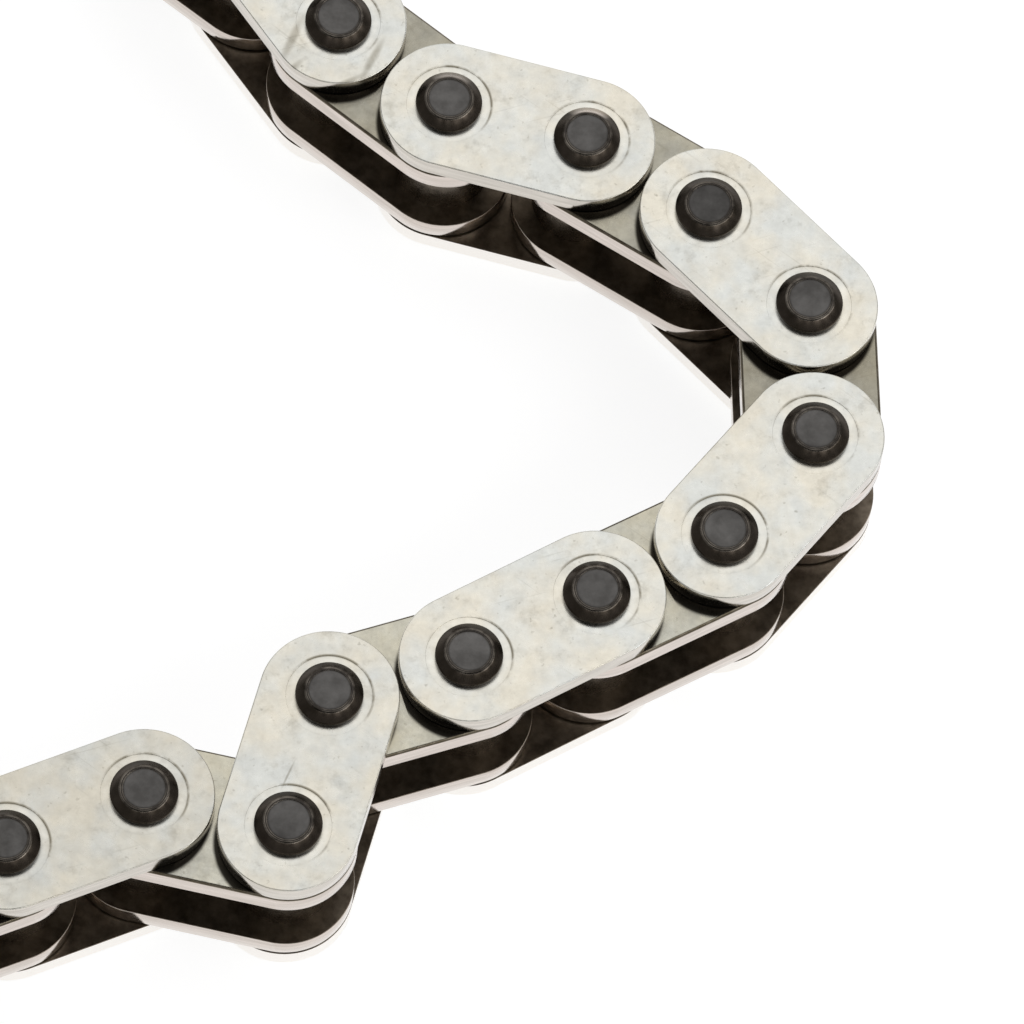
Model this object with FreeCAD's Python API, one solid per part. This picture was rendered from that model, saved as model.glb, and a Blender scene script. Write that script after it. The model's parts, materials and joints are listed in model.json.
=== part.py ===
import FreeCAD, Part

import math
import os

# Simplex bush timing chain of 3/8 inch pitch: a run of fifteen links that lies flat
# on the ends of its pins. Inner and outer links alternate, and a free inner link at
# each end is where the rest of the loop, or a connecting link, would be joined.
# Millimetres, +Z up and along the pins. The origin is on the ground plane, under the
# middle of the run's bounding box.

# Driving dimensions
pin_diameter = 4.45
running_clearance = 0.04       # between pin and bush, on the radius
bush_wall = 0.91
tooth_gap = 3.175              # between the two bushes of a link, where a sprocket tooth goes
neighbour_gap = 0.325          # between the round ends of two plates in one plane
inner_width = 5.72             # between the two inner plates
inner_plate_thickness = 1.7
outer_plate_thickness = 1.5
side_clearance = 0.08          # between an inner plate and the outer plate beside it
pin_end_rise = 0.95            # how far a riveted pin stands out of the outer plate
pin_end_land = 0.4             # straight part of that rise, below the bevel
pin_end_bevel = 0.62           # width of the bevel round the pin's flat end

# How the run is laid: the direction of each link in turn, in degrees from +X
link_directions = [
    -32.0, -49.0, -32.7, -8.6, -25.7,
    -39.9, -82.2, -123.5, -145.8, -144.8,
    -155.9, -99.6, 174.0, -151.4, -151.7,
]

# Sizes that follow: the bush is 6.35 mm and the pitch is 9.525 mm, 3/8 inch
bush_bore = pin_diameter + 2 * running_clearance
bush_diameter = bush_bore + 2 * bush_wall
pitch = bush_diameter + tooth_gap
end_radius = (pitch - neighbour_gap) / 2

# Levels above the ground plane
lower_outer_level = pin_end_rise
lower_inner_level = lower_outer_level + outer_plate_thickness + side_clearance
upper_inner_level = lower_inner_level + inner_plate_thickness + inner_width
upper_outer_level = upper_inner_level + inner_plate_thickness + side_clearance
pin_length = upper_outer_level + outer_plate_thickness + pin_end_rise
bush_length = upper_inner_level + inner_plate_thickness - lower_inner_level

UP = FreeCAD.Vector(0, 0, 1)


def point(x, y, z=0.0):
    return FreeCAD.Vector(x, y, z)


def obround():
    """Outline of a link plate: straight sides and a half circle round each hinge centre."""
    edges = [
        Part.LineSegment(point(0, end_radius), point(pitch, end_radius)),
        Part.Arc(point(pitch, end_radius), point(pitch + end_radius, 0), point(pitch, -end_radius)),
        Part.LineSegment(point(pitch, -end_radius), point(0, -end_radius)),
        Part.Arc(point(0, -end_radius), point(-end_radius, 0), point(0, end_radius)),
    ]
    return Part.Wire([edge.toShape() for edge in edges])


def link_plate(thickness, hole_diameter, level):
    """Flat plate with its first hole on the origin and its second one pitch along +X."""
    holes = [Part.Wire(Part.makeCircle(hole_diameter / 2, point(x, 0), UP)) for x in (0, pitch)]
    face = Part.makeFace([obround()] + holes, "Part::FaceMakerBullseye")
    face.translate(UP * level)
    return face.extrude(UP * thickness)


def bush(x):
    """Plain tube pressed into both inner plates and flush with their outer faces."""
    rims = [Part.Wire(Part.makeCircle(d / 2, point(x, 0), UP)) for d in (bush_diameter, bush_bore)]
    ring = Part.makeFace(rims, "Part::FaceMakerBullseye")
    ring.translate(UP * lower_inner_level)
    return ring.extrude(UP * bush_length)


def pin(x):
    """Pin with a bevelled flat end beyond each outer plate, turned about its axis."""
    radius = pin_diameter / 2
    flat_radius = radius - pin_end_bevel
    bevel_height = pin_end_rise - pin_end_land
    profile = Part.makePolygon([
        point(0, 0, 0),
        point(flat_radius, 0, 0),
        point(radius, 0, bevel_height),
        point(radius, 0, pin_length - bevel_height),
        point(flat_radius, 0, pin_length),
        point(0, 0, pin_length),
        point(0, 0, 0),
    ])
    turned = Part.Face(profile).revolve(point(0, 0), UP, 360)
    turned.translate(point(x, 0))
    return turned


def inner_link():
    """Two plates held apart by two bushes, the space that a sprocket tooth enters."""
    return {
        "upper_plate": link_plate(inner_plate_thickness, bush_diameter, upper_inner_level),
        "lower_plate": link_plate(inner_plate_thickness, bush_diameter, lower_inner_level),
        "bush_a": bush(0),
        "bush_b": bush(pitch),
    }


def outer_link():
    """Two plates riveted to two pins, which turn in the bushes of the inner links."""
    return {
        "upper_plate": link_plate(outer_plate_thickness, pin_diameter, upper_outer_level),
        "lower_plate": link_plate(outer_plate_thickness, pin_diameter, lower_outer_level),
        "pin_a": pin(0),
        "pin_b": pin(pitch),
    }


def hinge_centres():
    """Centre of each hinge along the run, with the middle of the run at x = y = 0."""
    xs = [0.0]
    ys = [0.0]
    for direction in link_directions:
        xs.append(xs[-1] + pitch * math.cos(math.radians(direction)))
        ys.append(ys[-1] + pitch * math.sin(math.radians(direction)))
    middle_x = (min(xs) + max(xs)) / 2
    middle_y = (min(ys) + max(ys)) / 2
    return [point(x - middle_x, y - middle_y) for x, y in zip(xs, ys)]


def link_name(index):
    """Links are counted along the run: inner 1, outer 1, inner 2, outer 2 and so on."""
    kind = "inner_link" if index % 2 == 0 else "outer_link"
    return f"{kind}_{index // 2 + 1}"


def main():
    os.makedirs("parts", exist_ok=True)
    centres = hinge_centres()
    for index, direction in enumerate(link_directions):
        pieces = inner_link() if index % 2 == 0 else outer_link()
        laid = FreeCAD.Placement(centres[index], FreeCAD.Rotation(UP, direction))
        for piece, shape in pieces.items():
            shape.Placement = laid.multiply(shape.Placement)
            shape.exportStep(f"parts/{link_name(index)}_{piece}.step")


main()
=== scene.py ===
import json
import math

import bpy
from mathutils import Matrix, Vector


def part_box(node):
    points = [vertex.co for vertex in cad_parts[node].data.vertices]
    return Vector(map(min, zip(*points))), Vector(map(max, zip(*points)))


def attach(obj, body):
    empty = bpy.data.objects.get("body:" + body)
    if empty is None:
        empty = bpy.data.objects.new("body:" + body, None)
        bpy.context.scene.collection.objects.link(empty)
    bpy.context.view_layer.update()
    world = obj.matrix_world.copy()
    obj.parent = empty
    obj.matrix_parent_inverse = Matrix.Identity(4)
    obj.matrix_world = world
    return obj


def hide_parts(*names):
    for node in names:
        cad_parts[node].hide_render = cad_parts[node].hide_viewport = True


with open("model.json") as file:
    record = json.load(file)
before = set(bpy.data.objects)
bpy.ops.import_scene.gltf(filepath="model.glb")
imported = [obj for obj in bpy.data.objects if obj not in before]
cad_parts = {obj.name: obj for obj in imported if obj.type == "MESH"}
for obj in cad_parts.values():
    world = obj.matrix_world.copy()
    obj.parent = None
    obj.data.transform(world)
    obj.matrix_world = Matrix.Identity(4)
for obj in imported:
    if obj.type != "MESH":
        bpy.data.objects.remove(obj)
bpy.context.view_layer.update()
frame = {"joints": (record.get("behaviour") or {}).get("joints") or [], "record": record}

MM = 0.001

# The run of links, taken from the frame: the centre of each hinge in order, from the
# free bush at one end of the run to the free bush at the other.
mounts = {mount["name"]: mount["pos_m"] for mount in frame["record"]["mounts"]}
joints = sorted(frame["joints"], key=lambda joint: int(joint["name"].split("_")[1]))
places = [mounts["first_free_bush"], *[joint["pos_m"] for joint in joints], mounts["last_free_bush"]]
centres = [Vector((x, y, 0.0)) for x, y, z in places]
link_count = len(centres) - 1
pitch = (centres[1] - centres[0]).length


def width_of(node):
    low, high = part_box(node)
    return high.x - low.x


def height_of(node):
    low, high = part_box(node)
    return high.z - low.z


# Sizes of the four kinds of piece, measured on the frame
drawn_in = 0.006 * MM          # keeps the plates' fine facets inside the frame's coarser ones
running_clearance = 0.04 * MM  # between pin and bush, on the radius
round_ends_width = width_of("inner_link_1_upper_plate") - abs(centres[1].x - centres[0].x)
plate_radius = round_ends_width / 2 - drawn_in
inner_thickness = height_of("inner_link_1_upper_plate")
outer_thickness = height_of("outer_link_1_upper_plate")
upper_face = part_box("outer_link_1_upper_plate")[1].z
bush_radius = width_of("inner_link_1_bush_a") / 2
bush_length = height_of("inner_link_1_bush_a")
pin_radius = width_of("outer_link_1_pin_a") / 2
pin_length = height_of("outer_link_1_pin_a")
pin_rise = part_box("outer_link_1_lower_plate")[0].z
bore_radius = pin_radius + running_clearance

# Fine forms that the frame leaves out
ROUND = 96                     # flats round a full circle
outer_rolled_edge = 0.1 * MM   # radius that the punch rolls on to the outward rim of a plate
inner_rolled_edge = 0.24 * MM
burr_edge = 0.06 * MM          # smaller radius on the rim where the punch comes out
staked_radius = 2.82 * MM      # shallow seat pressed round each pin when it is riveted
staked_depth = 0.03 * MM
staked_step = 0.028 * MM
bush_rim = 0.12 * MM

# Form of a pin's two ends
pin_land = 0.4 * MM            # straight part, below the bevel
pin_bevel = 0.62 * MM          # width of the bevel
pin_shoulder = 0.1 * MM        # rounding where the land meets the bevel
pin_rim = 0.13 * MM            # larger rounding between the bevel and the flat end
pin_bevel_height = pin_rise - pin_land
pin_flat_radius = pin_radius - pin_bevel

# The faint groove that the riveting leaves in a pin's flat end: from the rim inwards, the
# width of each step and how far its inner side then rises
pin_groove_steps = [
    (0.03 * MM, 0.0),
    (0.06 * MM, -0.03 * MM),
    (0.07 * MM, 0.018 * MM),
    (0.15 * MM, 0.0),
    (0.15 * MM, 0.0),
]


def only(obj):
    """Makes one object the selected and active one."""
    bpy.ops.object.select_all(action="DESELECT")
    obj.select_set(True)
    bpy.context.view_layer.objects.active = obj


def pick(obj, kind, test):
    """Enters edit mode with just the vertices, edges or faces that pass a test selected."""
    only(obj)
    bpy.ops.object.mode_set(mode="EDIT")
    bpy.ops.mesh.select_mode(type=kind)
    bpy.ops.mesh.select_all(action="DESELECT")
    bpy.ops.object.mode_set(mode="OBJECT")
    mesh = obj.data
    items = {"VERT": mesh.vertices, "EDGE": mesh.edges, "FACE": mesh.polygons}[kind]
    for item in items:
        item.select = test(item)
    bpy.ops.object.mode_set(mode="EDIT")


def done():
    bpy.ops.object.mode_set(mode="OBJECT")


def near(a, b, tolerance=0.002 * MM):
    return abs(a - b) < tolerance


def rim(obj, z, radius=None):
    """Test for the edges that run round at one height, and at one radius from a hole's centre."""
    verts = obj.data.vertices

    def test(edge):
        points = [verts[i].co for i in edge.vertices]
        if not all(near(p.z, z) for p in points):
            return False
        if radius is None:
            return True
        return any(
            all(near(math.hypot(p.x - x, p.y), radius) for p in points) for x in (0.0, pitch)
        )

    return test


def cylinder(name, radius, low, high, x=0.0, turn=0.0):
    bpy.ops.object.select_all(action="DESELECT")
    bpy.ops.mesh.primitive_cylinder_add(
        vertices=ROUND, radius=radius, depth=high - low, location=(x, 0, (low + high) / 2),
        rotation=(0, 0, turn),
    )
    obj = bpy.context.object
    obj.name = name
    bpy.ops.object.transform_apply(location=True, rotation=True, scale=True)
    return obj


def apply_modifier(obj, kind, **settings):
    only(obj)
    modifier = obj.modifiers.new(kind.title(), kind)
    for key, value in settings.items():
        setattr(modifier, key, value)
    bpy.ops.object.modifier_apply(modifier=modifier.name)


def bore(obj, radius, low, high):
    """Cuts a round hole or pocket at both hinge centres of a plate."""
    for x in (0.0, pitch):
        cutter = cylinder("cutter", radius, low, high, x)
        apply_modifier(obj, "BOOLEAN", operation="DIFFERENCE", solver="EXACT", object=cutter)
        bpy.data.objects.remove(cutter)


def smooth(obj):
    """Shades the curved faces smooth and keeps the flat ones flat."""
    only(obj)
    bpy.ops.object.shade_smooth_by_angle(angle=math.radians(35))
    apply_modifier(obj, "WEIGHTED_NORMAL", keep_sharp=True, weight=100)


def plate_blank(name, thickness, rolled_edge):
    """Obround blank punched from strip, with its outward face up and its hinges on X."""
    plate = cylinder(name, plate_radius, 0, thickness, turn=math.pi / ROUND)
    pick(plate, "VERT", lambda vert: vert.co.x > 0)
    bpy.ops.transform.translate(value=(pitch, 0, 0))
    done()
    pick(plate, "EDGE", rim(plate, thickness))
    bpy.ops.mesh.bevel(offset=rolled_edge, segments=5, affect="EDGES")
    done()
    pick(plate, "EDGE", rim(plate, 0))
    bpy.ops.mesh.bevel(offset=burr_edge, segments=3, affect="EDGES")
    done()
    return plate


def outer_plate():
    """Outer plate: bored for the pins, with a shallow seat staked round each of them."""
    plate = plate_blank("outer_plate", outer_thickness, outer_rolled_edge)
    bore(plate, staked_radius, outer_thickness - staked_depth, outer_thickness + MM)
    pick(plate, "EDGE", rim(plate, outer_thickness, staked_radius))
    bpy.ops.mesh.bevel(offset=staked_step, segments=2, affect="EDGES")
    done()
    bore(plate, pin_radius, -MM, outer_thickness + MM)
    smooth(plate)
    return plate


def inner_plate():
    """Inner plate: bored for the bushes."""
    plate = plate_blank("inner_plate", inner_thickness, inner_rolled_edge)
    bore(plate, bush_radius, -MM, inner_thickness + MM)
    smooth(plate)
    return plate


def pin():
    """Pin with bevelled ends, their rims rounded and a faint groove in their flats. Each point
    keeps its distance from the axis, in millimetres, for the ground finish."""
    shank_top = pin_length - pin_bevel_height
    obj = cylinder("pin", pin_radius, pin_bevel_height, shank_top)
    narrow = pin_flat_radius / pin_radius
    for sign in (-1, 1):
        raised = (0, 0, sign * pin_bevel_height)
        pick(obj, "FACE", lambda face: face.normal.z * sign > 0.9)
        bpy.ops.mesh.extrude_region_move(TRANSFORM_OT_translate={"value": raised})
        bpy.ops.transform.resize(value=(narrow, narrow, 1))
        done()
    for level, rounding in (
        (0, pin_rim),
        (pin_bevel_height, pin_shoulder),
        (shank_top, pin_shoulder),
        (pin_length, pin_rim),
    ):
        pick(obj, "EDGE", rim(obj, level))
        bpy.ops.mesh.bevel(offset=rounding, segments=5, affect="EDGES")
        done()
    for sign in (-1, 1):
        pick(obj, "FACE", lambda face: face.normal.z * sign > 0.999)
        for width, rise in pin_groove_steps:
            bpy.ops.mesh.inset(thickness=width)
            bpy.ops.transform.translate(value=(0, 0, sign * rise))
        done()
    smooth(obj)
    off_axis = [math.hypot(vert.co.x, vert.co.y) / MM for vert in obj.data.vertices]
    obj.data.attributes.new("off_axis", "FLOAT", "POINT").data.foreach_set("value", off_axis)
    return obj


def bush():
    """Tube with rounded rims, flush with the outward faces of its two plates."""
    obj = cylinder("bush", bush_radius, 0, bush_length)
    pick(obj, "FACE", lambda face: abs(face.normal.z) > 0.9)
    bpy.ops.mesh.inset(thickness=bush_radius - bore_radius)
    bpy.ops.mesh.bridge_edge_loops()
    done()
    for level in (0, bush_length):
        pick(obj, "EDGE", rim(obj, level, bore_radius))
        bpy.ops.mesh.bevel(offset=bush_rim, segments=3, affect="EDGES")
        done()
    smooth(obj)
    return obj


# Soiling and wear of the steel, and the sheen, shade and reflection painted on it. Every
# length and place from here to the materials is in millimetres, as the patterns are.
# pale colour painted as sheen round each pin
painted_sheen_colour = "#F4F1E8"
# pale steel, painted as a reflection on the far side of some pins' bevels
far_reflection_colour = "#D9CEC4"
# near black, painted as shade in the crescents on the inner plates
painted_shade_colour = "#17130E"

# The fine grain that the tumbling left in the plates' faces
grain_depth = 0.005

# Fine scratches on those faces: their size, so deep that they don't change down through a
# plate, and the ways that they run, in degrees
hairline_length = 8.0
hairline_width = 0.22
hairline_depth = 100.0
hairline_angles = (24, -31)

# A bright ring of painted sheen round each pin, and a dark ring just outside it: their
# radius, and the distance at which they fade out on either side
painted_sheen_ring = (2.5, 0.32)
far_dark_ring = (2.86, 0.15)

# Where that dark ring is kept: the direction from the hinge to its far side, and the
# distances along that direction at which it begins and is full
far_dark_toward = (0.5, 0.87, 0.0)
far_dark_from = -1.6
far_dark_full = 1.8

# Painted shade on the inner plates: a dark crescent outside the circle that the neighbour's
# round end covers as it turns, and inside that circle shifted a little towards the near side.
sweep_radius = plate_radius / MM
shade_shift = (-0.099, -0.66, 0.0)
shade_fade = 0.18                # how softly its outer edge ends
shade_lap = 0.1                  # how far it reaches in under the neighbour's round end

# The walls of the lowest plates, painted paler low down as a painted reflection of the white
# table: the height below which that begins and the height below which it is full, and the
# colour that the steel has there
table_reflection_walls = [
    (3.9, 2.2, "#E6E0DA"),
    (2.6, 2.45, "#F6F2ED"),
]

# Painted shade in the groove of a pin's flat end: the radii at which it begins and is full
groove_shade = (1.24, 1.46)

# Dull marks rubbed across the first outer link, and a scratch on the sixth: their middle,
# direction, length and width, in millimetres and degrees
rub_marks = [
    (-8.8, 25.5, 73, 5.4, 0.9),
    (-8.63, 23.1, 52, 3.2, 0.7),
    (-3.3, 24.7, 70, 4.4, 0.75),
    (-5.1, 22.5, 34, 4.8, 0.65),
    (-2.9, -27.7, 73, 2.8, 0.22),
]

# UV maps of a plate: the offsets of each point from its two hinge centres
hinge_maps = ("from_first_hinge", "from_second_hinge")


def linear(hex_colour):
    """sRGB hex to the linear colour that a shader socket takes."""
    values = [int(hex_colour[i:i + 2], 16) / 255 for i in (1, 3, 5)]
    return [v / 12.92 if v <= 0.04045 else ((v + 0.055) / 1.055) ** 2.4 for v in values] + [1.0]


def add(tree, kind, settings=None, links=None):
    """Adds a node, sets its inputs or properties, and links sockets to its inputs. A hex colour
    for an input is turned to linear. Inputs that share a name go by number: a Mix node's share
    is 0, its two plain values are 2 and 3, its vectors 4 and 5 and its colours 6 and 7, and
    their mixtures are its outputs 0, 1 and 2."""
    node = tree.nodes.new(kind)
    for key, value in (settings or {}).items():
        if isinstance(key, int) or key in node.inputs:
            node.inputs[key].default_value = linear(value) if isinstance(value, str) else value
        else:
            setattr(node, key, value)
    for key, socket in (links or {}).items():
        tree.links.new(socket, node.inputs[key])
    return node


def new_steel(name):
    """A metal's material, with the tree and the shader that give it its colour and finish."""
    material = bpy.data.materials.new(name)
    material.use_nodes = True
    tree = material.node_tree
    shader = tree.nodes["Principled BSDF"]
    shader.inputs["Metallic"].default_value = 1.0
    return material, tree, shader


def millimetres(tree):
    """Object coordinates in millimetres."""
    here = add(tree, "ShaderNodeTexCoord").outputs["Object"]
    scaled = add(tree, "ShaderNodeMapping", {"Scale": (1 / MM,) * 3}, {"Vector": here})
    return scaled.outputs["Vector"]


def uneven(tree, point, scale, detail=3.0, roughness=0.5, within=(0.0, 1.0), gives=(0.0, 1.0)):
    """Uneven cover with so many features to a millimetre. What lies within one range of the
    noise is stretched to what the cover gives."""
    texture = add(tree, "ShaderNodeTexNoise",
                  {"Scale": scale, "Detail": detail, "Roughness": roughness}, {"Vector": point})
    return add(tree, "ShaderNodeMapRange",
               {"From Min": within[0], "From Max": within[1], "To Min": gives[0], "To Max": gives[1]},
               {"Value": texture.outputs["Fac"]}).outputs[0]


def hairlines(tree, point, angle):
    """Fine scratches that all run one way over a plate's face."""
    drawn = add(tree, "ShaderNodeMapping",
                {"vector_type": "TEXTURE", "Rotation": (0, 0, math.radians(angle)),
                 "Scale": (hairline_length, hairline_width, hairline_depth)},
                {"Vector": point})
    return uneven(tree, drawn.outputs["Vector"], 1.0, detail=2.0, within=(0.655, 0.7))


def rub_mark(tree, point, x, y, angle, length, width):
    """1 in the middle of a long mark on an upper face, falling to 0 at its outline."""
    drawn = add(tree, "ShaderNodeMapping",
                {"vector_type": "TEXTURE", "Location": (x, y, upper_face / MM),
                 "Rotation": (0, 0, math.radians(angle)), "Scale": (length / 2, width / 2, 1.0)},
                {"Vector": point})
    off = add(tree, "ShaderNodeVectorMath", {"operation": "LENGTH"}, {0: drawn.outputs["Vector"]})
    return add(tree, "ShaderNodeMapRange",
               {"interpolation_type": "SMOOTHSTEP", "From Min": 1.0, "From Max": 0.2},
               {"Value": off.outputs["Value"]}).outputs[0]


def hinge_offset(tree):
    """Offset from the nearer hinge centre of a plate, from its two hinge maps."""
    maps = [add(tree, "ShaderNodeUVMap", {"uv_map": name}).outputs[0] for name in hinge_maps]
    first, second = [
        add(tree, "ShaderNodeVectorMath", {"operation": "LENGTH"}, {0: offset}).outputs["Value"]
        for offset in maps
    ]
    second_nearer = add(tree, "ShaderNodeMath", {"operation": "LESS_THAN"}, {0: second, 1: first})
    return add(tree, "ShaderNodeMix", {"data_type": "VECTOR"},
               {0: second_nearer.outputs[0], 4: maps[0], 5: maps[1]}).outputs[1]


def ring(tree, away, radius, half_width):
    """1 at one distance from a hinge centre, falling to 0 at half a width on either side."""
    off = add(tree, "ShaderNodeMath", {"operation": "SUBTRACT", 1: radius}, {0: away})
    size = add(tree, "ShaderNodeMath", {"operation": "ABSOLUTE"}, {0: off.outputs[0]})
    return add(tree, "ShaderNodeMapRange",
               {"interpolation_type": "SMOOTHSTEP", "From Min": 0.0, "From Max": half_width,
                "To Min": 1.0, "To Max": 0.0},
               {"Value": size.outputs[0]}).outputs[0]


def tumbled_face(tree, point, cool, warm, stain, soiled):
    """Colour that the tumbling left: clouded cool and warm, under each link's own share of a
    film of old oil, with a mottle, smudges and fine pits."""
    clouds = uneven(tree, point, 0.28, detail=3.0, roughness=0.55, within=(0.36, 0.64))
    film = add(tree, "ShaderNodeAttribute", {"attribute_name": "film"}).outputs["Fac"]
    mottle = uneven(tree, point, 0.8, detail=7.0, roughness=0.76, within=(0.3, 0.7),
                    gives=(1.0 - soiled, 1.0 + 0.4 * soiled))
    smudges = uneven(tree, point, 0.45, detail=5.0, roughness=0.75, within=(0.55, 0.75),
                     gives=(0.0, 0.32))
    pits = uneven(tree, point, 2.2, detail=2.0, roughness=0.6, within=(0.66, 0.8),
                  gives=(0.0, 0.45))
    tint = add(tree, "ShaderNodeMix", {"data_type": "RGBA", 6: cool, 7: warm},
               {0: clouds}).outputs[2]
    tint = add(tree, "ShaderNodeMix", {"data_type": "RGBA", 7: stain},
               {0: film, 6: tint}).outputs[2]
    tint = add(tree, "ShaderNodeMix", {"data_type": "RGBA", "blend_type": "MULTIPLY", 0: 1.0},
               {6: tint, 7: mottle}).outputs[2]
    for share in (smudges, pits):
        tint = add(tree, "ShaderNodeMix", {"data_type": "RGBA", 7: stain},
                   {0: share, 6: tint}).outputs[2]
    return tint


def far_dark_share(tree, point, offset):
    """Share of the dark ring that is kept: broken on the far side of a hinge, and none on
    its near side."""
    broken = uneven(tree, point, 0.35, detail=4.0, roughness=0.65, within=(0.42, 0.56),
                    gives=(0.0, 0.9))
    far = add(tree, "ShaderNodeVectorMath", {"operation": "DOT_PRODUCT", 1: far_dark_toward},
              {0: offset})
    return add(tree, "ShaderNodeMapRange",
               {"interpolation_type": "SMOOTHSTEP", "From Min": far_dark_from, "From Max": far_dark_full},
               {"Value": far.outputs["Value"], "To Max": broken}).outputs[0]


def crescent_shade_share(tree, offset, crescent_shade):
    """Share of painted shade inside the circle shifted towards the near side from the one that the
    neighbour's round end covers.
    """
    hung = add(tree, "ShaderNodeVectorMath", {"operation": "DISTANCE", 1: shade_shift}, {0: offset})
    return add(tree, "ShaderNodeMapRange",
               {"interpolation_type": "SMOOTHSTEP", "From Min": sweep_radius + shade_fade,
                "From Max": sweep_radius - shade_lap, "To Max": crescent_shade},
               {"Value": hung.outputs["Value"]}).outputs[0]


def plate_steel(name, cool, warm, stain, roughness, soiled, crescent_shade, marks=()):
    """Carbon steel punched from strip and tumbled: a pale satin face, clouded cool and warm by
    the film that the tumbling left, with smudges, fine pits and a few hairline scratches. A
    ring of painted sheen lies round each pin, with a dark ring broken round its far side, and
    a crescent of painted shade lies beside the low side of the neighbour's round end."""
    material, tree, shader = new_steel(name)
    point = millimetres(tree)
    offset = hinge_offset(tree)
    away = add(tree, "ShaderNodeVectorMath", {"operation": "LENGTH"}, {0: offset}).outputs["Value"]
    outside = add(tree, "ShaderNodeMath", {"operation": "GREATER_THAN", 1: sweep_radius - shade_lap},
                  {0: away}).outputs[0]
    scratched = uneven(tree, point, 0.2, detail=1.0, roughness=0.5, within=(0.5, 0.62),
                       gives=(0.0, 0.15))
    rubbed = uneven(tree, point, 1.6, detail=3.0, roughness=0.6, within=(0.3, 0.7),
                    gives=(0.35, 0.65))
    # how much painted sheen there is, unevenly
    sheen_cover = uneven(tree, point, 0.4, detail=3.0, roughness=0.6, within=(0.35, 0.65),
                       gives=(0.0, 0.42))

    # What lies over the tumbled face, in order: where it lies, how much of it, and its colour
    layers = [(hairlines(tree, point, angle), scratched, stain) for angle in hairline_angles]
    layers += [(rub_mark(tree, point, *mark), rubbed, stain) for mark in marks]
    layers += [
        # painted sheen round each pin
        (ring(tree, away, *painted_sheen_ring), sheen_cover, painted_sheen_colour),
        # a dark ring kept only on the far side of each hinge
        (ring(tree, away, *far_dark_ring), far_dark_share(tree, point, offset), stain),
        # painted shade: the dark crescent beside the neighbour's round end
        (outside, crescent_shade_share(tree, offset, crescent_shade), painted_shade_colour),
    ]
    tint = tumbled_face(tree, point, cool, warm, stain, soiled)
    for where, amount, colour in layers:
        share = add(tree, "ShaderNodeMath", {"operation": "MULTIPLY"}, {0: where, 1: amount})
        tint = add(tree, "ShaderNodeMix", {"data_type": "RGBA", 7: colour},
                   {0: share.outputs[0], 6: tint}).outputs[2]

    satin = uneven(tree, point, 0.9, detail=4.0, roughness=0.6, within=(0.3, 0.7),
                   gives=(roughness - 0.04, roughness + 0.06))
    grain = uneven(tree, point, 5.0)
    bump = add(tree, "ShaderNodeBump", {"Strength": 0.2, "Distance": grain_depth * MM},
               {"Height": grain})
    tree.links.new(tint, shader.inputs["Base Color"])
    tree.links.new(satin, shader.inputs["Roughness"])
    tree.links.new(bump.outputs[0], shader.inputs["Normal"])
    return material


def sheared_edge(name, dull, bright):
    """Wall of a punched plate: polished bright by the die, with faint lines that run round it
    where the tool wore, and painted paler low down as a painted reflection of the white table
    that it lay on. It mirrors what is in front of it."""
    material, tree, shader = new_steel(name)
    point = millimetres(tree)
    drawn = add(tree, "ShaderNodeMapping", {"Scale": (0.3, 0.3, 3.0)}, {"Vector": point})
    lines = uneven(tree, drawn.outputs["Vector"], 1.0, within=(0.3, 0.7))
    tint = add(tree, "ShaderNodeMix", {"data_type": "RGBA", 6: dull, 7: bright},
               {0: lines}).outputs[2]
    height = add(tree, "ShaderNodeSeparateXYZ", None, {0: point}).outputs[2]
    # painted reflection of the white table, paler low down
    for begins, full, colour in table_reflection_walls:
        table_reflection = add(tree, "ShaderNodeMapRange",
                    {"interpolation_type": "SMOOTHSTEP", "From Min": begins, "From Max": full},
                    {"Value": height})
        tint = add(tree, "ShaderNodeMix", {"data_type": "RGBA", 7: colour},
                   {0: table_reflection.outputs[0], 6: tint}).outputs[2]
    polish = uneven(tree, point, 1.4, within=(0.3, 0.7), gives=(0.12, 0.2))
    tree.links.new(tint, shader.inputs["Base Color"])
    tree.links.new(polish, shader.inputs["Roughness"])
    return material


def dark_steel(name, light, dark, roughness):
    """Hardened steel under a film of old oil: dark, brownish and half glossy. On the plates'
    inward faces and rolled rims it also stands for painted shade, and where an attribute marks
    a pin's far bevel it is turned pale steel, a painted reflection."""
    material, tree, shader = new_steel(name)
    point = millimetres(tree)
    film = uneven(tree, point, 1.1, detail=4.0, roughness=0.6, within=(0.35, 0.65))
    painted_far_reflection = add(tree, "ShaderNodeAttribute", {"attribute_name": "painted_far_reflection"}).outputs["Fac"]
    tint = add(tree, "ShaderNodeMix", {"data_type": "RGBA", 6: dark, 7: light},
               {0: film}).outputs[2]
    tint = add(tree, "ShaderNodeMix", {"data_type": "RGBA", 7: far_reflection_colour},
               {0: painted_far_reflection, 6: tint}).outputs[2]
    gloss = uneven(tree, point, 1.6, detail=4.0, roughness=0.6, within=(0.3, 0.7),
                   gives=(roughness, roughness + 0.1))
    tree.links.new(tint, shader.inputs["Base Color"])
    tree.links.new(gloss, shader.inputs["Roughness"])
    return material


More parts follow.
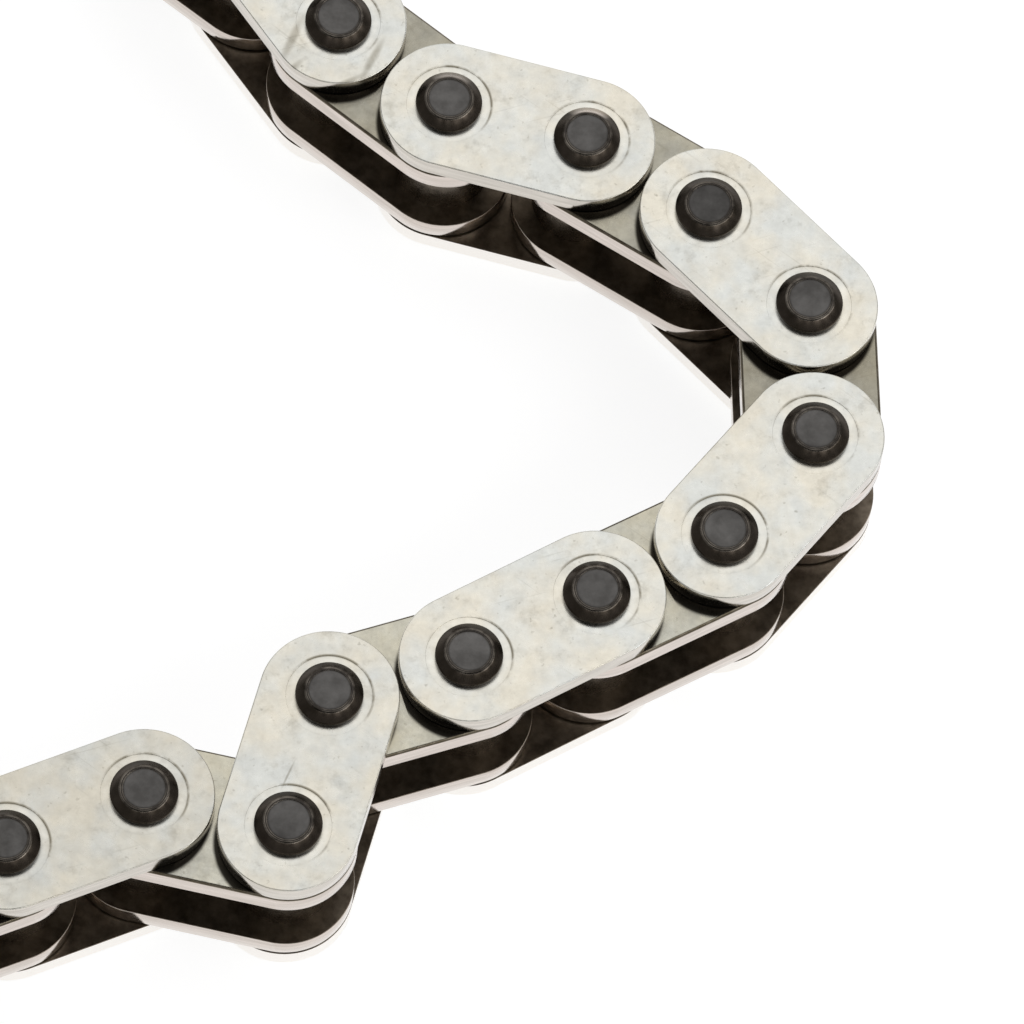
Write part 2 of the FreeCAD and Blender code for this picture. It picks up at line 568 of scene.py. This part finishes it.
def ground_end(name, light, dark, soiled):
    """Flat end of a pin: ground dull and grey, a little different from pin to pin, with the
    groove round its rim darkened as painted shade."""
    material, tree, shader = new_steel(name)
    point = millimetres(tree)
    ground_marks = uneven(tree, point, 0.9, detail=4.0, roughness=0.6, within=(0.35, 0.65))
    from_pin_to_pin = uneven(tree, point, 0.08, detail=1.0, within=(0.35, 0.65), gives=(0.6, 1.1))
    off_axis = add(tree, "ShaderNodeAttribute", {"attribute_name": "off_axis"}).outputs["Fac"]
    begins, full = groove_shade
    groove = add(tree, "ShaderNodeMapRange",
                 {"interpolation_type": "SMOOTHSTEP", "From Min": begins, "From Max": full,
                  "To Max": 0.85},
                 {"Value": off_axis})
    tint = add(tree, "ShaderNodeMix", {"data_type": "RGBA", 6: dark, 7: light},
               {0: ground_marks}).outputs[2]
    tint = add(tree, "ShaderNodeMix", {"data_type": "RGBA", "blend_type": "MULTIPLY", 0: 1.0},
               {6: tint, 7: from_pin_to_pin}).outputs[2]
    # the groove's dark ring is painted shade
    tint = add(tree, "ShaderNodeMix", {"data_type": "RGBA", 7: soiled},
               {0: groove.outputs[0], 6: tint}).outputs[2]
    dull = uneven(tree, point, 1.6, detail=4.0, roughness=0.6, within=(0.3, 0.7),
                  gives=(0.34, 0.44))
    tree.links.new(tint, shader.inputs["Base Color"])
    tree.links.new(dull, shader.inputs["Roughness"])
    return material


outer_steel = plate_steel(
    "tumbled_outer_plate_steel", "#E0E1DC", "#E7E1D2", "#7C7564",
    roughness=0.29, soiled=0.15, crescent_shade=0.0, marks=rub_marks,
)
# the inner plates carry the crescents of painted shade, the outer ones none
inner_steel = plate_steel(
    "tumbled_inner_plate_steel", "#CCCABE", "#D1CBB7", "#6E6654",
    roughness=0.27, soiled=0.24, crescent_shade=0.97,
)
outer_edge_steel = sheared_edge("sheared_outer_plate_edge", "#BFB9B0", "#D6D0C7")
inner_edge_steel = sheared_edge("sheared_inner_plate_edge", "#C4BAB1", "#D9CEC6")
# the inner plates' rolled rims: painted shade, a dark line along their edge
rolled_rim_shaded_steel = dark_steel("rolled_inner_plate_rim_painted_shade", "#776F62", "#5F5748", 0.25)
# the plates' inward faces: darker brown, partly old oil and partly painted shade between the plates
inward_steel = dark_steel("oiled_and_shaded_inward_plate_steel", "#887D6F", "#655B4F", 0.3)
# its last colour is painted shade for the groove in the flat
pin_flat_steel = ground_end("ground_pin_end_steel", "#686664", "#565452", "#2E2A27")
pin_steel = dark_steel("hardened_pin_steel", "#474039", "#38322B", 0.18)
worn_pin_steel = dark_steel("worn_pin_rim_steel", "#7A736A", "#3C3732", 0.22)
bush_steel = dark_steel("oiled_bush_steel", "#81776A", "#6B6156", 0.22)

# The pins whose bevel is painted pale on its far side, a painted reflection, and how much.
# It begins and is full where the direction from the axis has these shares of +Y.
pins_with_far_reflection = {"outer_link_2_pin_a": 0.45, "outer_link_2_pin_b": 0.9}
far_reflection_from = 0.725
far_reflection_full = 0.975

# How much of the film of old oil each link's plates carry, from the first link of the run on
link_film = [
    0.1, 0.04, 0.48, 0.02, 0.4,
    0.0, 0.55, 0.0, 0.1, 0.0,
    0.05, 0.06, 0.0, 0.2, 0.1,
]


# How much a plate's facets look up at the least, to belong to its outward face, its rolled rim
# or its sheared wall. The rest are its inward face.
least_upward = (0.97, 0.35, -0.5)


def face_materials(obj, outward, rolled, wall, inward):
    """A plate's outward face, its rolled rim, its sheared wall and its inward face differ."""
    for steel in (outward, rolled, wall, inward):
        obj.data.materials.append(steel)
    for face in obj.data.polygons:
        face.material_index = sum(face.normal.z <= least for least in least_upward)


def pin_materials(obj):
    """The flat ends of a pin are ground lighter than the rest of it, and their rims are worn."""
    for steel in (pin_steel, pin_flat_steel, worn_pin_steel):
        obj.data.materials.append(steel)
    for face in obj.data.polygons:
        away = math.hypot(face.center.x, face.center.y)
        flat = abs(face.normal.z) > 0.9 and away < pin_flat_radius - pin_rim * 0.5
        worn = abs(face.normal.z) > 0.6 and away < pin_flat_radius + pin_rim * 0.6
        face.material_index = 1 if flat else 2 if worn else 0


shapes = {"outer_plate": outer_plate(), "inner_plate": inner_plate(), "pin": pin(), "bush": bush()}
face_materials(shapes["outer_plate"], outer_steel, outer_steel, outer_edge_steel, inward_steel)
face_materials(shapes["inner_plate"], inner_steel, rolled_rim_shaded_steel, inner_edge_steel, inward_steel)
pin_materials(shapes["pin"])
shapes["bush"].data.materials.append(bush_steel)


def add_hinge_maps(mesh, hinge_pair):
    """Keeps each point's offsets from the plate's two hinge centres, in millimetres."""
    for name, centre in zip(hinge_maps, hinge_pair):
        layer = mesh.uv_layers.new(name=name)
        for loop in mesh.loops:
            co = mesh.vertices[loop.vertex_index].co
            layer.data[loop.index].uv = ((co.x - centre.x) / MM, (co.y - centre.y) / MM)


def paint_far_reflection(mesh, centre, amount):
    """Marks the far side of a pin's upper bevel for a painted reflection in pale steel, by an
    amount that tapers off along the bevel."""
    bevel_foot = pin_length - pin_bevel_height - pin_shoulder
    shares = []
    for vert in mesh.vertices:
        out = vert.co - centre
        away = math.hypot(out.x, out.y)
        on_bevel = away > pin_flat_radius and vert.co.z > bevel_foot
        # share of the painted reflection, growing towards +Y
        worn = (out.y / away - far_reflection_from) / (far_reflection_full - far_reflection_from) if on_bevel else 0.0
        shares.append(amount * min(1.0, max(0.0, worn)))
    mesh.attributes.new("painted_far_reflection", "FLOAT", "POINT").data.foreach_set("value", shares)


def place(shape, node, body, index, at_second=False, flipped=False):
    """Copies a shape to its place in a link, where it stands for the frame's own node."""
    low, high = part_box(node)
    along = centres[index + 1] - centres[index]
    origin = centres[index + 1] if at_second else centres[index]
    level = high.z if flipped else low.z
    turn = Matrix.Rotation(math.atan2(along.y, along.x), 4, "Z")
    flip = Matrix.Rotation(math.pi, 4, "X") if flipped else Matrix.Identity(4)
    piece = bpy.data.objects.new(node + "_finished", shapes[shape].data.copy())
    mesh = piece.data
    mesh.transform(Matrix.Translation(origin + Vector((0, 0, level))) @ turn @ flip)
    film = mesh.attributes.new("film", "FLOAT", "POINT")
    film.data.foreach_set("value", [link_film[index]] * len(mesh.vertices))
    if "plate" in shape:
        add_hinge_maps(mesh, centres[index:index + 2])
    if node in pins_with_far_reflection:
        paint_far_reflection(mesh, origin, pins_with_far_reflection[node])
    bpy.context.scene.collection.objects.link(piece)
    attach(piece, body)
    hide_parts(node)


for index in range(link_count):
    number = index // 2 + 1
    inner = index % 2 == 0
    body = f"{'inner' if inner else 'outer'}_link_{number}"
    plate = "inner_plate" if inner else "outer_plate"
    round_piece = "bush" if inner else "pin"
    place(plate, f"{body}_upper_plate", body, index)
    place(plate, f"{body}_lower_plate", body, index, flipped=True)
    place(round_piece, f"{body}_{round_piece}_a", body, index)
    place(round_piece, f"{body}_{round_piece}_b", body, index, at_second=True)

for shape in shapes.values():
    bpy.data.objects.remove(shape)


# The camera looks along +Y and down, and is rolled a little, as the photograph's was
look_at = Vector((9.477, -7.304, 13.23)) * MM
elevation = math.radians(65.2)
roll = math.radians(6.7)
camera_distance = 628.5 * MM
picture_size = 1024            # pixels
focal_length = 9600            # pixels
sensor = 36.0                  # millimetres, as the camera's own settings take it

tilt = math.pi / 2 - elevation
aim = Matrix.Rotation(tilt, 4, "X") @ Matrix.Rotation(roll, 4, "Z")
bpy.ops.object.camera_add(
    location=look_at + camera_distance * Vector((0, -math.sin(tilt), math.cos(tilt))),
    rotation=aim.to_euler(),
)
camera = bpy.context.object
camera.data.sensor_width = sensor
camera.data.lens = sensor * focal_length / picture_size
camera.data.clip_start = 10 * MM
bpy.context.scene.camera = camera


# The table: its width in metres, how strongly it glows, and the share of that glow in what
# the camera and the steel see of it
table_width = 6.0
table_glow = 1.31
glow_share = 0.65


def ground():
    """White table. The camera and the steel see it evenly white, with the chain's soft
    shadow kept in the part of it that takes the light."""
    bpy.ops.object.select_all(action="DESELECT")
    bpy.ops.mesh.primitive_plane_add(size=table_width)
    floor = bpy.context.object
    floor.name = "ground"
    material = bpy.data.materials.new("white_table")
    material.use_nodes = True
    tree = material.node_tree
    tree.nodes.clear()
    diffuse = add(tree, "ShaderNodeBsdfDiffuse", {"Color": "#F4F4F4"})
    glow = add(tree, "ShaderNodeEmission", {"Strength": table_glow})
    path = add(tree, "ShaderNodeLightPath")
    seen = add(tree, "ShaderNodeMath", {"operation": "ADD"},
               {0: path.outputs["Is Camera Ray"], 1: path.outputs["Is Glossy Ray"]})
    seen_all = add(tree, "ShaderNodeMath", {"operation": "ADD", "use_clamp": True},
                   {0: seen.outputs[0], 1: path.outputs["Is Transmission Ray"]})
    share = add(tree, "ShaderNodeMath", {"operation": "MULTIPLY", 1: glow_share},
                {0: seen_all.outputs[0]})
    mix = add(tree, "ShaderNodeMixShader", None,
              {0: share.outputs[0], 1: diffuse.outputs[0], 2: glow.outputs[0]})
    add(tree, "ShaderNodeOutputMaterial", None, {"Surface": mix.outputs[0]})
    floor.data.materials.append(material)


ground()

# The studio, by the direction that its parts are seen in: a black flag round the lens, a pale
# wall behind the table, five small lights in a bow round the table's near side and its right
# one, and a wide softbox above its far side. Each is a round patch with an axis, the angles
# from it where the patch begins and is full, and a strength. The plates' faces mirror the
# softbox, and the rims of the pins mirror the small lights.
room_strength = 0.34
patches = [
    ((0.0, -0.42, 0.907), 36.0, 20.0, 0.02),
    ((0.0, 0.966, 0.259), 50.0, 30.0, 0.7),
    ((-0.300, -0.660, 0.689), 10.0, 5.0, 1.6),
    ((0.050, -0.720, 0.692), 10.0, 5.0, 1.8),
    ((0.433, -0.590, 0.681), 13.0, 7.0, 2.8),
    ((0.710, -0.260, 0.654), 15.0, 8.0, 3.4),
    ((0.860, 0.100, 0.500), 12.0, 7.0, 2.6),
    ((0.0, 0.42, 0.907), 36.0, 22.0, 1.08),
]


def studio():
    world = bpy.data.worlds.new("studio")
    world.use_nodes = True
    tree = world.node_tree
    background = tree.nodes["Background"]
    towards = add(tree, "ShaderNodeTexCoord").outputs["Generated"]
    level = None
    for axis, begins, full, strength in patches:
        facing = add(tree, "ShaderNodeVectorMath", {"operation": "DOT_PRODUCT", 1: axis},
                     {0: towards})
        inside = add(tree, "ShaderNodeMapRange",
                     {"interpolation_type": "SMOOTHSTEP",
                      "From Min": math.cos(math.radians(begins)),
                      "From Max": math.cos(math.radians(full))},
                     {"Value": facing.outputs["Value"]})
        blend = add(tree, "ShaderNodeMix", {"data_type": "FLOAT", 2: room_strength, 3: strength},
                    {0: inside.outputs[0]})
        if level:
            tree.links.new(level, blend.inputs[2])
        level = blend.outputs[0]
    tree.links.new(level, background.inputs["Strength"])
    background.inputs["Color"].default_value = (1, 1, 1, 1)
    bpy.context.scene.world = world


studio()

bpy.context.scene.view_settings.view_transform = "Standard"
